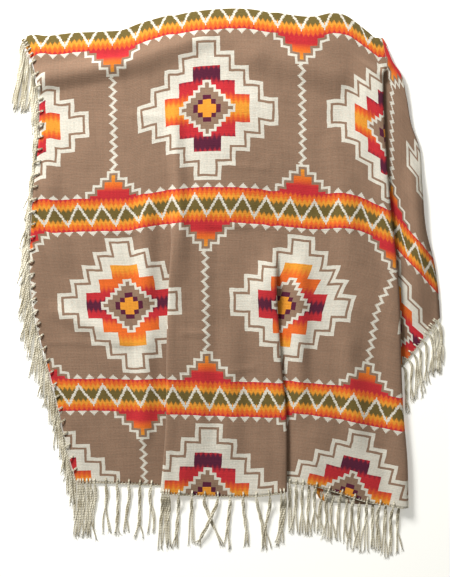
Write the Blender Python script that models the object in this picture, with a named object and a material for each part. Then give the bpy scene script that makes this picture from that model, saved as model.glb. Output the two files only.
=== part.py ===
"""Fringed trade blanket, laid out on a level surface with the folds it hung in.

The blanket is one woollen sheet. Its top is turned under along a soft fold, two soft
pleats run down its face, and its right side is folded under and out again, so that a
wedge of it shows past the edge. Twisted yarn fringe stands along its outer hems. Each
fringe has a narrow header strip of its own beside the hem.

Plan sizes are millimetres with +X to the right and +Y towards the turned top, counted
from the middle of the face. Heights are counted from the surface it lies on.
"""

import math
import random

import bmesh
import bpy
import numpy as np

MM = 0.001

# Cloth
CLOTH = 2.4  # thickness of the wool
LAYER_PITCH = 4.0  # rise from one layer of a fold to the next
BEND = LAYER_PITCH / 2  # radius of a fold's bend
FLOOR = CLOTH / 2  # middle of a layer that lies on the surface
TURN_UNDER = 400.0  # how far the top is turned under
SLOPE_RUN = 70.0  # run over which cloth comes down off a stack of layers
FOLD_ON = 8.0  # pleat depth at which its bends are fully closed
ROWS = 26  # rows of faces from hem to top fold
BEND_STEPS = 4  # faces round one bend
RETURN_ROWS = (60.0, 200.0, TURN_UNDER)  # depth of each row of the turned-under top
RETURN_TAPER = 0.11  # how much the turned-under part draws in at its sides
RETURN_SLOPE = 150.0  # run over which the face comes down off the turned-under top
RIPPLE_FADE = 45.0  # distance from a pleat's edge over which ripples fade in
LEVEL_TOP = 60.0  # stretch below the top fold that stays free of ripples
COLUMN_GAPS = 2.0  # clear cloth kept between a stack and where it starts to slope

# From the middle of the face to the middle of the whole part with its fringe
PART_CENTRE = (16.122, 14.145)

# Fringe
HEADER = 8.0  # width of a header strip
HEM_GAP = 0.5  # gap between cloth and header strip
YARN_ROOT = 6.0  # width of a strand at its root
YARN_HIGH = 5.6  # height of a strand
YARN_END = 0.8  # width of a strand's loose end as a share of its full width
YARN_STEPS = 4  # faces along a strand
HEADER_END = 5.0  # bare strip past the first and last strand
DROP_RUN = 0.3  # share of a strand over which it comes down to the surface

# Guide lines from hem to top fold, as (x, y)
LEFT_HEM = (
    (-400, -532), (-422, -460), (-446, -350), (-470, -250), (-492, -170), (-514, -80),
    (-527, 40), (-524, 160), (-514, 300), (-504, 400), (-502, 480), (-510, 570),
    (-532, 636), (-550, 668),
)
LEFT_PLEAT = (
    (-173, -558), (-165, -470), (-158, -370), (-157, -220), (-155, -120), (-148, 40),
    (-140, 140), (-130, 340), (-132, 480), (-140, 737),
)
CENTRE_PLEAT = (
    (168, -556), (165, -320), (155, -220), (145, -80), (135, 80), (132, 280), (130, 743),
)
SIDE_FOLD = (
    (497, -597), (494, -470), (484, -350), (478, -220), (472, -20), (464, 80),
    (448, 220), (440, 310), (430, 480), (424, 615), (414, 672),
)
WEDGE_EDGE = (
    (585, -82), (580, -10), (570, 60), (545, 160), (535, 280), (528, 380), (507, 440),
    (492, 520), (474, 585), (455, 612), (444, 640), (438, 655),
)

# Top fold and hems from left to right, as (x, y)
TOP_FOLD = (
    (-550, 668), (-535, 679), (-480, 680), (-410, 688), (-320, 692), (-260, 698),
    (-230, 710), (-180, 725), (-110, 742), (-30, 752), (80, 752), (160, 738),
    (240, 733), (290, 742), (330, 735), (365, 712), (400, 686), (438, 655),
)
FACE_MIDDLE = (TOP_FOLD[0][0] + TOP_FOLD[-1][0]) / 2
LEFT_PANEL_HEM = ((-400, -532), (-340, -530), (-260, -533), (-140, -541))
CENTRE_PANEL_HEM = ((-173, -558), (-50, -566), (90, -566), (168, -556))
RIGHT_PANEL_HEM = ((118, -526), (170, -530), (240, -536), (310, -555), (390, -580), (497, -597))
WEDGE_HEM = ((245, -530), (585, -82))

# Pleats: guide line, depth at the hem, share of the height where it dies out, the way
# its edge faces, faces across its middle layer
PLEATS = (
    {"line": LEFT_PLEAT, "depth": 34.0, "ends": 0.70, "faces": -1, "middle": 1},
    {"line": CENTRE_PLEAT, "depth": 50.0, "ends": 0.50, "faces": 1, "middle": 1},
    {"line": SIDE_FOLD, "depth": 250.0, "ends": 0.94, "faces": 1, "middle": 3},
)
# Panels between them: hem, faces across
PANELS = (
    {"hem": LEFT_PANEL_HEM, "columns": 7},
    {"hem": CENTRE_PANEL_HEM, "columns": 6},
    {"hem": RIGHT_PANEL_HEM, "columns": 6},
    {"hem": WEDGE_HEM, "columns": 4},
)
# Soft ripples in the face: start, end, half width and height of each
RIPPLES = (
    {"start": (-520, 560), "end": (-240, 610), "half_width": 46.0, "height": 14.0},
    {"start": (-240, 610), "end": (-40, 690), "half_width": 52.0, "height": 10.0},
    {"start": (-212, 230), "end": (-214, -40), "half_width": 40.0, "height": 12.0},
    {"start": (-214, -110), "end": (-222, -420), "half_width": 40.0, "height": 9.0},
    {"start": (-135, 480), "end": (-118, 120), "half_width": 30.0, "height": 8.0},
    {"start": (-60, 240), "end": (-62, -420), "half_width": 42.0, "height": 6.0},
    {"start": (-480, 300), "end": (-440, 60), "half_width": 44.0, "height": 7.0},
    {"start": (-470, -60), "end": (-250, -150), "half_width": 36.0, "height": 7.0},
    {"start": (60, 640), "end": (330, 560), "half_width": 60.0, "height": 10.0},
    {"start": (205, 60), "end": (205, -330), "half_width": 36.0, "height": 9.0},
    {"start": (330, -120), "end": (360, -420), "half_width": 48.0, "height": 9.0},
    {"start": (20, -120), "end": (10, -460), "half_width": 50.0, "height": 6.0},
    {"start": (300, 420), "end": (330, 150), "half_width": 52.0, "height": 7.0},
    {"start": (505, 330), "end": (540, 60), "half_width": 26.0, "height": 7.0},
)

# Fringes: hem followed, bare stretches before the first strand and after the last one,
# spacing, strand length and width, degrees by which strands hang to the left of straight
# down, at even spacing from the first to the last, how fast a strand turns from square to
# its hem to the way it hangs, sideways play and its seed
FRINGES = (
    {"name": "fringe_left", "hem": "left", "bare": (14, 10), "pitch": 34.0,
     "length": 142.0, "width": 4.2, "hang": (13.5, 13.5, 13.5, 12, 8, 3, 0, -2, -3),
     "turn": 3.6, "play": 0.004, "seed": 11},
    {"name": "fringe_hem_left", "hem": "left_panel", "bare": (16, 34), "pitch": 31.0,
     "length": 138.0, "width": 8.0, "hang": (1, 0), "turn": 2.8, "play": 0.055, "seed": 12},
    {"name": "fringe_hem_centre", "hem": "centre_panel", "bare": (10, 8), "pitch": 35.0,
     "length": 140.0, "width": 8.0, "hang": (0,), "turn": 2.8, "play": 0.06, "seed": 13},
    {"name": "fringe_hem_right", "hem": "right_panel", "bare": (64, 8), "pitch": 18.0,
     "length": 132.0, "width": 7.0, "hang": (0,), "turn": 2.8, "play": 0.03, "seed": 14},
    {"name": "fringe_wedge", "hem": "wedge", "bare": (400, 8), "pitch": 22.0,
     "length": 120.0, "width": 7.6, "hang": (0,), "turn": 2.8, "play": 0.012, "seed": 15},
)
SHORTEST = 0.86  # shortest strand as a share of its fringe's length

TAUPE = (0.255, 0.168, 0.112)
CREAM = (0.650, 0.590, 0.470)


def smooth_step(value):
    """Ease from 0 to 1 as value goes from 0 to 1."""
    v = np.clip(value, 0.0, 1.0)
    return v * v * (3 - 2 * v)


def through(points, at, key=0):
    """Read a smooth curve through points at one coordinate, and give the other one."""
    table = sorted(points, key=lambda p: p[key])
    known = np.array([p[key] for p in table], dtype=float)
    values = np.array([p[1 - key] for p in table], dtype=float)
    slopes = np.gradient(values, known)
    at = np.clip(np.asarray(at, dtype=float), known[0], known[-1])
    i = np.clip(np.searchsorted(known, at) - 1, 0, len(known) - 2)
    span = known[i + 1] - known[i]
    f = (at - known[i]) / span
    return (
        (2 * f**3 - 3 * f**2 + 1) * values[i]
        + (f**3 - 2 * f**2 + f) * span * slopes[i]
        + (3 * f**2 - 2 * f**3) * values[i + 1]
        + (f**3 - f**2) * span * slopes[i + 1]
    )


def ripple(x, y):
    """Height of the soft ripples at a place on the face."""
    total = 0.0
    for r in RIPPLES:
        ax, ay = r["start"]
        bx, by = r["end"]
        length = math.hypot(bx - ax, by - ay)
        ux, uy = (bx - ax) / length, (by - ay) / length
        along = ((x - ax) * ux + (y - ay) * uy) / length
        across = ((x - ax) * uy - (y - ay) * ux) / r["half_width"]
        crest = smooth_step(1 - np.abs(across))
        ends = smooth_step((along + 0.15) / 0.3) * smooth_step((1.15 - along) / 0.3)
        total = total + r["height"] * crest * ends
    level = smooth_step((through(TOP_FOLD, x) - y - LEVEL_TOP / 2) / LEVEL_TOP)
    return total * level


def over_return(x, y):
    """Rise of the face where the turned-under top lies beneath it."""
    before_taper = FACE_MIDDLE + (x - FACE_MIDDLE) / (1 - RETURN_TAPER)
    end_of_return = through(TOP_FOLD, before_taper) - TURN_UNDER
    clear = end_of_return - y - COLUMN_GAPS
    return LAYER_PITCH * (1 - smooth_step(clear / RETURN_SLOPE))


def pleat_section(depth, closed, middle):
    """Section through a pleat, from its upper layer round two bends to its lower one.

    Gives each point's distance past the visible edge, its drop below the upper layer and
    its share of the cloth's run through the pleat. closed is 0 for flat cloth and 1 for
    bends that turn right round.
    """
    turn = -math.pi * closed
    bend = math.pi * BEND / BEND_STEPS
    steps = [(turn * (k + 0.5) / BEND_STEPS, bend) for k in range(BEND_STEPS)]
    steps += [(turn, depth / middle)] * middle
    steps += [(turn * (k - 0.5) / BEND_STEPS, bend) for k in range(BEND_STEPS, 0, -1)]
    out = np.cumsum([0.0] + [length * math.cos(a) for a, length in steps])
    drop = np.cumsum([0.0] + [-length * math.sin(a) for a, length in steps])
    run = np.cumsum([0.0] + [length for a, length in steps])
    return out - out[BEND_STEPS // 2], drop, run / run[-1]


def section_of(pleat, share):
    """A pleat's depth and its section at a share of the height."""
    left = max(0.0, 1 - share / pleat["ends"])
    depth = pleat["depth"] * left
    closed = float(smooth_step(depth / FOLD_ON))
    out, drop, run = pleat_section(max(depth, 0.5), closed, pleat["middle"])
    return depth, out, drop, run


def row_of_points(share):
    """One row of the sheet's middle surface, at a share of the way from hem to top."""
    sections = [section_of(p, share) for p in PLEATS]
    edges = []
    for pleat in PLEATS:
        line = pleat["line"]
        low, high = line[0][1], line[-1][1]
        edges.append(float(through(line, low + (high - low) * share, key=1)))

    starts = [
        float(through(LEFT_HEM, LEFT_HEM[0][1] + (LEFT_HEM[-1][1] - LEFT_HEM[0][1]) * share, key=1))
    ]
    stops = []
    lifts = []
    for pleat, edge, (depth, out, drop, run) in zip(PLEATS, edges, sections):
        if pleat["faces"] > 0:
            stops.append(edge + out[0])
            starts.append(edge + out[-1])
        else:
            stops.append(edge - out[-1])
            starts.append(edge - out[0])
        lifts.append(drop[-1])
    low, high = WEDGE_EDGE[0][1], WEDGE_EDGE[-1][1]
    stops.append(float(through(WEDGE_EDGE, low + (high - low) * share, key=1)))

    xs, ys, rises = [], [], []
    for n, panel in enumerate(PANELS):
        part = np.linspace(0, 1, panel["columns"] + 1)
        x = starts[n] + (stops[n] - starts[n]) * part
        y = panel_height(n, part, share)
        rise = np.zeros_like(x)
        if n > 0 and PLEATS[n - 1]["faces"] < 0:
            clear = x - starts[n] - sections[n - 1][0] - COLUMN_GAPS
            rise = np.maximum(rise, lifts[n - 1] * (1 - smooth_step(clear / SLOPE_RUN)))
        if n < len(PLEATS) and PLEATS[n]["faces"] > 0:
            clear = stops[n] - x - sections[n][0] - COLUMN_GAPS
            rise = np.maximum(rise, lifts[n] * (1 - smooth_step(clear / SLOPE_RUN)))
        xs.append(x)
        ys.append(y)
        rises.append(rise)

    row_x, row_y, row_rise = [xs[0]], [ys[0]], [rises[0]]
    for n, (pleat, edge, (depth, out, drop, run)) in enumerate(zip(PLEATS, edges, sections)):
        fold_x, fold_rise = edge + out, drop[-1] - drop
        if pleat["faces"] < 0:
            fold_x, fold_rise, run = (edge - out)[::-1], fold_rise[::-1], 1 - run[::-1]
        across = ys[n][-1] + (ys[n + 1][0] - ys[n][-1]) * run
        row_x += [fold_x[1:-1], xs[n + 1]]
        row_y += [across[1:-1], ys[n + 1]]
        row_rise += [fold_rise[1:-1], rises[n + 1]]
    x, y, rise = (np.concatenate(v) for v in (row_x, row_y, row_rise))
    z = FLOOR + rise + over_return(x, y) + ripple(x, y) * free_face(x, edges, sections)
    return np.stack([x, y, z], axis=1)


def free_face(x, edges, sections):
    """How freely the face ripples at each point of a row: 0 in folds and under them."""
    first = 0
    free = np.ones_like(x)
    for n, (pleat, edge, section) in enumerate(zip(PLEATS, edges, sections)):
        first += PANELS[n]["columns"]
        last = first + 2 * BEND_STEPS + pleat["middle"]
        closed = smooth_step(section[0] / FOLD_ON)
        apart = smooth_step(np.abs(x - edge) / RIPPLE_FADE)
        under = np.arange(len(x)) > last if pleat["faces"] > 0 else np.arange(len(x)) < first
        covered = under & ((x - edge) * pleat["faces"] < 0)
        apart = np.where(covered, 0.0, apart)
        apart[first : last + 1] = 0.0
        free *= 1 - closed * (1 - apart)
        first = last
    return free


def panel_ends(n):
    """The x of a panel's two sides at the hem and at the top fold."""
    left = LEFT_HEM if n == 0 else PLEATS[n - 1]["line"]
    right = WEDGE_EDGE if n == len(PANELS) - 1 else PLEATS[n]["line"]
    return left, right


def panel_height(n, part, share):
    """The y of points across a panel, at a share of the way from hem to top fold."""
    left, right = panel_ends(n)
    hem = PANELS[n]["hem"]
    hem_x = hem[0][0] + (hem[-1][0] - hem[0][0]) * part
    top_x = left[-1][0] + (right[-1][0] - left[-1][0]) * part
    low = through(hem, hem_x)
    high = through(TOP_FOLD, top_x)
    return low + (high - low) * share


def sheet_points():
    """The middle surface of the whole cloth, row by row from the hem to the far end."""
    rows = [row_of_points(n / ROWS) for n in range(ROWS + 1)]
    top = rows[-1]
    top[:, 2] = FLOOR + LAYER_PITCH
    along = np.gradient(top[:, :2], axis=0)
    outward = np.stack([-along[:, 1], along[:, 0]], axis=1)
    outward /= np.linalg.norm(outward, axis=1)[:, None]
    for k in range(1, BEND_STEPS + 1):
        angle = math.pi * k / BEND_STEPS
        row = top.copy()
        row[:, :2] += outward * BEND * math.sin(angle)
        row[:, 2] = FLOOR + BEND + BEND * math.cos(angle)
        rows.append(row)
    for depth in RETURN_ROWS:
        taper = 1 - RETURN_TAPER * min(1.0, depth / RETURN_ROWS[0])
        row = top.copy()
        row[:, 0] = FACE_MIDDLE + (top[:, 0] - FACE_MIDDLE) * taper
        row[:, 1] -= depth
        row[:, 2] = FLOOR
        rows.append(row)
    return np.array(rows)


def surface_normals(points):
    """Unit normals of a grid of points."""
    down = np.gradient(points, axis=0)
    across = np.gradient(points, axis=1)
    normals = np.cross(across, down)
    return normals / np.linalg.norm(normals, axis=2)[:, :, None]


def make_sheet(points):
    """Give the middle surface its thickness, as one closed mesh."""
    normals = surface_normals(points)
    faces_of = [points + normals * CLOTH / 2, points - normals * CLOTH / 2]
    rows, columns = points.shape[:2]
    mesh = bmesh.new()
    grids = [
        [[mesh.verts.new(place(side[r, c])) for c in range(columns)] for r in range(rows)]
        for side in faces_of
    ]
    upper, lower = grids
    for r in range(rows - 1):
        for c in range(columns - 1):
            mesh.faces.new((upper[r][c], upper[r][c + 1], upper[r + 1][c + 1], upper[r + 1][c]))
            mesh.faces.new((lower[r][c], lower[r + 1][c], lower[r + 1][c + 1], lower[r][c + 1]))
    rim = [(0, c) for c in range(columns)]
    rim += [(r, columns - 1) for r in range(1, rows)]
    rim += [(rows - 1, c) for c in range(columns - 2, -1, -1)]
    rim += [(r, 0) for r in range(rows - 2, 0, -1)]
    for (r0, c0), (r1, c1) in zip(rim, rim[1:] + rim[:1]):
        mesh.faces.new((upper[r1][c1], upper[r0][c0], lower[r0][c0], lower[r1][c1]))
    return mesh


def place(point):
    """A point in millimetres from the middle of the face, in metres in the part's frame."""
    return (
        (point[0] - PART_CENTRE[0]) * MM,
        (point[1] - PART_CENTRE[1]) * MM,
        point[2] * MM,
    )


def hem_line(points, name):
    """Points along a hem of the cloth, in the order in which its fringe is laid."""
    first = 0
    spans = {}
    for n, panel in enumerate(PANELS):
        last = first + panel["columns"]
        key = ("left_panel", "centre_panel", "right_panel", "wedge")[n]
        spans[key] = points[0, first : last + 1]
        if n < len(PLEATS):
            first = last + 2 * BEND_STEPS + PLEATS[n]["middle"]
    spans["left"] = points[ROWS - 1 :: -1, 0]
    return spans[name]


class Hem:
    """A hem that can be read by distance along it."""

    def __init__(self, points):
        self.points = points
        steps = np.linalg.norm(np.diff(points[:, :2], axis=0), axis=1)
        self.at = np.concatenate([[0.0], np.cumsum(steps)])

    def point(self, distance):
        """The middle of the cloth's rim, some way along the hem."""
        return np.array([np.interp(distance, self.at, self.points[:, k]) for k in range(3)])

    def outward(self, distance):
        """The way out of the cloth, square to the hem."""
        near = self.point(max(distance - 20, 0.0))
        far = self.point(min(distance + 20, self.at[-1]))
        run = (far - near)[:2]
        run /= np.linalg.norm(run)
        return np.array([run[1], -run[0]])


def strand_rings(root, outward, share_along, low, length, fringe, draw):
    """Centre, sideways direction, width and heights of each ring of a strand."""
    side = np.array([-outward[1], outward[0]])
    stations = np.linspace(0, 1, len(fringe["hang"]))
    lean = math.radians(float(np.interp(share_along, stations, fringe["hang"])))
    hang = np.array([-math.sin(lean), -math.cos(lean)])
    hang = hang + side * draw.uniform(-1, 1) * fringe["play"]
    hang /= np.linalg.norm(hang)
    bow = draw.uniform(-1, 1) * fringe["play"]
    centre = root.copy()
    step = length / YARN_STEPS
    rings = []
    for k in range(1, YARN_STEPS + 1):
        share = k / YARN_STEPS
        turn = min(1.0, fringe["turn"] * share)
        heading = outward * (1 - turn) + hang * turn + side * bow * math.sin(math.pi * share)
        heading /= np.linalg.norm(heading)
        centre = centre + heading * step
        across = np.array([-heading[1], heading[0]])
        if np.dot(across, side) < 0:
            across = -across
        wide = fringe["width"] * (YARN_END if k == YARN_STEPS else 1.0)
        base = low * (1 - smooth_step(share / DROP_RUN))
        rings.append((centre.copy(), across, wide, base, base + YARN_HIGH))
    return rings


def make_fringe(points, fringe):
    """One fringe: a header strip beside the hem with its strands, as one closed mesh."""
    hem = Hem(hem_line(points, fringe["hem"]))
    first, last = fringe["bare"][0], hem.at[-1] - fringe["bare"][1]
    count = int((last - first) // fringe["pitch"]) + 1
    draw = random.Random(fringe["seed"])
    roots = [first + fringe["pitch"] * n for n in range(count)]
    stations = [first - HEADER_END]
    for root in roots:
        stations += [root - YARN_ROOT / 2, root + YARN_ROOT / 2]
    stations.append(roots[-1] + HEADER_END)

    mesh = bmesh.new()
    rims = []
    for distance in stations:
        middle, outward = hem.point(distance), hem.outward(distance)
        inner = middle[:2] + outward * HEM_GAP
        outer = middle[:2] + outward * (HEM_GAP + HEADER)
        low, high = middle[2] - CLOTH / 2, middle[2] + CLOTH / 2
        corners = [(inner, low), (outer, low), (outer, high), (inner, high)]
        rims.append([mesh.verts.new(place((p[0], p[1], z))) for p, z in corners])
    mesh.faces.new(rims[0])
    mesh.faces.new(rims[-1][::-1])
    for n, (one, two) in enumerate(zip(rims, rims[1:])):
        for a, b in ((0, 1), (2, 3), (3, 0)):
            mesh.faces.new((one[a], one[b], two[b], two[a]))
        if n % 2 == 0:
            mesh.faces.new((one[1], one[2], two[2], two[1]))
            continue
        root = roots[n // 2]
        middle, outward = hem.point(root), hem.outward(root)
        start = middle[:2] + outward * (HEM_GAP + HEADER)
        length = fringe["length"] * draw.uniform(SHORTEST, 1.0)
        ring = [one[1], two[1], two[2], one[2]]
        low = middle[2] - CLOTH / 2
        for centre, across, wide, base, top in strand_rings(
            start, outward, (root - first) / (last - first), low, length, fringe, draw
        ):
            near, far = centre - across * wide / 2, centre + across * wide / 2
            corners = [(near, base), (far, base), (far, top), (near, top)]
            following = [mesh.verts.new(place((p[0], p[1], z))) for p, z in corners]
            for a, b in ((0, 1), (1, 2), (2, 3), (3, 0)):
                mesh.faces.new((ring[a], ring[b], following[b], following[a]))
            ring = following
        mesh.faces.new(ring)
    return mesh


def make_material(name, colour, roughness):
    """A plain wool finish."""
    material = bpy.data.materials.new(name)
    material.use_nodes = True
    shader = material.node_tree.nodes["Principled BSDF"]
    shader.inputs["Base Color"].default_value = (*colour, 1.0)
    shader.inputs["Roughness"].default_value = roughness
    shader.inputs["Metallic"].default_value = 0.0
    return material


def add_object(name, mesh, material):
    """Turn a finished bmesh into a named object."""
    bmesh.ops.recalc_face_normals(mesh, faces=mesh.faces)
    data = bpy.data.meshes.new(name)
    mesh.to_mesh(data)
    mesh.free()
    data.materials.append(material)
    piece = bpy.data.objects.new(name, data)
    bpy.context.scene.collection.objects.link(piece)
    return piece


def main():
    """Build the cloth and its fringes."""
    for old in list(bpy.data.objects):
        bpy.data.objects.remove(old, do_unlink=True)
    wool = make_material("trade_wool", TAUPE, 0.92)
    yarn = make_material("fringe_yarn", CREAM, 0.90)
    points = sheet_points()
    add_object("blanket_cloth", make_sheet(points), wool)
    for fringe in FRINGES:
        add_object(fringe["name"], make_fringe(points, fringe), yarn)


main()
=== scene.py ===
"""Fringed trade blanket: woven wool in the soft folds it is laid out in, its yarn fringe and a studio.

The cloth and the fringe repeat the guide lines of the solids that they stand for, in
millimetres with +X to the right and +Y towards the turned top, counted from the middle of
the face. Only the last step of each mesh turns them into metres in the part's frame.
"""

from __future__ import annotations

import logging
import math
import random
from dataclasses import dataclass, field
from enum import Enum
from functools import partial
from typing import NamedTuple

import bpy
import numpy as np
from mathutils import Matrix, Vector, noise

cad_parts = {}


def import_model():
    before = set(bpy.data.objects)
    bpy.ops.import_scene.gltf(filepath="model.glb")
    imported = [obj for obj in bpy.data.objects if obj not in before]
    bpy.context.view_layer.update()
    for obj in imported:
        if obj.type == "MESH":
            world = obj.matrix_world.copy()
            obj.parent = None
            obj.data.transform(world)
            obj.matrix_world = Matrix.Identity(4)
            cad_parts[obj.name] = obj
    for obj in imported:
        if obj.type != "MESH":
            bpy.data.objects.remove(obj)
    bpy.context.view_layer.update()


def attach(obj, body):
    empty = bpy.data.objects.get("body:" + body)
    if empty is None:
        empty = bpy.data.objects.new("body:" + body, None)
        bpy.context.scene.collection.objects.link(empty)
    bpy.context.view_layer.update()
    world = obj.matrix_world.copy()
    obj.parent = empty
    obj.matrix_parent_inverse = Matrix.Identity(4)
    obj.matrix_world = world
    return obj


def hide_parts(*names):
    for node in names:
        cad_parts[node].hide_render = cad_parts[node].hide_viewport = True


LOG = logging.getLogger("trade_blanket")
MM = 0.001
ROOT_BODY = "root"
CUT_MAP = "cut"
YARN_MAP = "yarn"
PART_CENTRE = (16.122, 14.145)  # from the middle of the face to the middle of the whole part
LOOKS_SEED = 100  # keeps the chance in how strands look apart from that in how they lie

Node = bpy.types.Node
Pair = tuple[float, float]
Triple = tuple[float, float, float]
Points = tuple[Pair, ...]
Colour = tuple[float, float, float, float]  # linear, with an alpha
Paint = Colour | Node
Layer = tuple[Node, Paint]  # a mask, and what is woven where it is 1


class Facing(Enum):
    """The way the visible edge of a pleat faces."""

    LEFT = -1
    RIGHT = 1


class HemName(Enum):
    """The edges of the cloth that carry fringe."""

    LEFT = "left"
    LEFT_PANEL = "left panel"
    CENTRE_PANEL = "centre panel"
    RIGHT_PANEL = "right panel"
    WEDGE = "wedge"


def linear_colour(code: str) -> Colour:
    """Turn an sRGB hex colour into the linear one that shaders use.

    Args:
        code: colour such as "#8a715f".

    Returns:
        Red, green, blue and an alpha of 1.
    """
    channels = [int(code[n : n + 2], 16) / 255 for n in (1, 3, 5)]
    linear = [c / 12.92 if c <= 0.04045 else ((c + 0.055) / 1.055) ** 2.4 for c in channels]
    return (*linear, 1.0)


def add_node(tree: bpy.types.NodeTree, kind: str, *inputs: object, **settings: object) -> Node:
    """Add a node with its settings, and feed the inputs that those settings leave open.

    Args:
        tree: node tree that gets the node.
        kind: type of the node without its ShaderNode prefix, and a maths node's operation.
        inputs: for each open input in order a value, a node, a socket, or None to leave it.
        settings: attributes of the node.

    Returns:
        The new node.
    """
    kind, _, operation = kind.partition(" ")
    made = tree.nodes.new("ShaderNode" + kind)
    if operation:
        made.operation = operation
    for name, value in settings.items():
        setattr(made, name, value)
    for socket, value in zip([s for s in made.inputs if s.enabled], inputs):
        if isinstance(value, Node):
            value = next(s for s in value.outputs if s.enabled)
        if isinstance(value, bpy.types.NodeSocket):
            tree.links.new(value, socket)
        elif value is not None:
            socket.default_value = value
    return made


def new_material(name: str, shader_values: dict[str, object]) -> bpy.types.Material:
    """Make a material whose Principled shader has these values on its own sockets.

    Args:
        name: name of the material.
        shader_values: value for each named socket.

    Returns:
        The material.
    """
    material = bpy.data.materials.new(name)
    material.use_nodes = True
    shader = material.node_tree.nodes["Principled BSDF"]
    for socket, value in shader_values.items():
        shader.inputs[socket].default_value = value
    return material


def smooth_step(value: np.ndarray | float) -> np.ndarray:
    """Ease from 0 to 1 as value goes from 0 to 1."""
    v = np.clip(value, 0.0, 1.0)
    return v * v * (3 - 2 * v)


def through(points: Points, at: np.ndarray | float, key: int = 0) -> np.ndarray:
    """Read a smooth curve through points at one coordinate.

    Args:
        points: the points of the curve.
        at: values of the coordinate that is known.
        key: 0 where x is known, 1 where y is.

    Returns:
        The other coordinate.
    """
    table = sorted(points, key=lambda p: p[key])
    known = np.array([p[key] for p in table], dtype=float)
    values = np.array([p[1 - key] for p in table], dtype=float)
    slopes = np.gradient(values, known)
    at = np.clip(np.asarray(at, dtype=float), known[0], known[-1])
    i = np.clip(np.searchsorted(known, at) - 1, 0, len(known) - 2)
    span = known[i + 1] - known[i]
    f = (at - known[i]) / span
    return (
        (2 * f**3 - 3 * f**2 + 1) * values[i]
        + (f**3 - 2 * f**2 + f) * span * slopes[i]
        + (3 * f**2 - 2 * f**3) * values[i + 1]
        + (f**3 - f**2) * span * slopes[i + 1]
    )


def placed(points: np.ndarray) -> np.ndarray:
    """Millimetres from the middle of the face, as metres in the part's frame."""
    return (points - np.array([*PART_CENTRE, 0.0])) * MM


def lengths_along(points: np.ndarray) -> np.ndarray:
    """How far each point lies along the line through all of them."""
    steps = np.linalg.norm(np.diff(points, axis=0), axis=1)
    return np.concatenate([[0.0], np.cumsum(steps)])


def unit(vectors: np.ndarray, ease: float = 0.0) -> np.ndarray:
    """Bring vectors to a length of 1. A tiny ease leaves one without length as it is."""
    return vectors / (np.linalg.norm(vectors, axis=-1, keepdims=True) + ease)


def left_of(headings: np.ndarray) -> np.ndarray:
    """Directions a quarter turn to the left of these, as x and y."""
    return np.stack([-headings[..., 1], headings[..., 0]], axis=-1)


def edge_x(line: Points, share: float) -> float:
    """The x of a line up the face, at a share of the way from its lower end."""
    low, high = line[0][1], line[-1][1]
    return float(through(line, low + (high - low) * share, key=1))


def new_piece(
    name: str,
    vertices: np.ndarray,
    faces: list[tuple[int, ...]],
    map_name: str,
    map_places: np.ndarray,
    material: bpy.types.Material,
) -> bpy.types.Object:
    """Turn points in millimetres into a smooth mesh object with one map, and dress it.

    Args:
        name: name of the piece.
        vertices: points in millimetres from the middle of the face.
        faces: vertex numbers of each face.
        map_name: name of its UV map.
        map_places: place of each vertex on that map.
        material: its material.

    Returns:
        The object, linked to the scene.
    """
    mesh = bpy.data.meshes.new(name)
    mesh.from_pydata(placed(vertices).tolist(), [], faces)
    mesh.update()
    corners = np.zeros(len(mesh.loops), dtype=np.int32)
    mesh.loops.foreach_get("vertex_index", corners)
    layer = mesh.uv_layers.new(name=map_name)
    layer.data.foreach_set("uv", map_places[corners].astype(np.float32).ravel())
    mesh.shade_smooth()
    mesh.materials.append(material)
    piece = bpy.data.objects.new(name, mesh)
    bpy.context.scene.collection.objects.link(piece)
    return piece


class Hem:
    """A hem that can be read by distance along it."""

    reach: float = 20.0  # how far each way its direction is read

    def __init__(self, points: np.ndarray, start: int) -> None:
        """Keep the points, and count distance from the one numbered start.

        Args:
            points: middle of the cloth's rim, in the order in which the fringe is laid.
            start: number of the point at distance 0.
        """
        self.points = points
        self.at = lengths_along(points[:, :2])
        self.at -= self.at[start]

    def point(self, distance: float) -> np.ndarray:
        """The middle of the cloth's rim, some way along the hem."""
        return np.array([np.interp(distance, self.at, self.points[:, k]) for k in range(3)])

    def outward(self, distance: float) -> np.ndarray:
        """Find the way out of the cloth, square to the hem.

        Args:
            distance: place along the hem.

        Returns:
            The direction, as x and y.
        """
        near = self.point(max(distance - self.reach, self.at[0]))
        far = self.point(min(distance + self.reach, self.at[-1]))
        return -left_of(unit((far - near)[:2]))


@dataclass(frozen=True)
class Ripple:
    """A soft ridge in the face, from start to end."""

    start: Pair
    end: Pair
    half_width: float
    height: float
    ease: float = 0.15  # share of its length by which it rises before each end, and after it

    def rise(self, x: np.ndarray, y: np.ndarray) -> np.ndarray:
        """Find the height of the ridge at places on the face.

        Args:
            x: the x of each place.
            y: its y.

        Returns:
            Height at each place.
        """
        run = np.subtract(self.end, self.start)
        length = float(np.hypot(*run))
        ux, uy = run / length
        dx, dy = x - self.start[0], y - self.start[1]
        along = (dx * ux + dy * uy) / length
        across = (dx * uy - dy * ux) / self.half_width
        ends = smooth_step((along + self.ease) / (2 * self.ease))
        ends = ends * smooth_step((1 + self.ease - along) / (2 * self.ease))
        return self.height * smooth_step(1 - np.abs(across)) * ends


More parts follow.
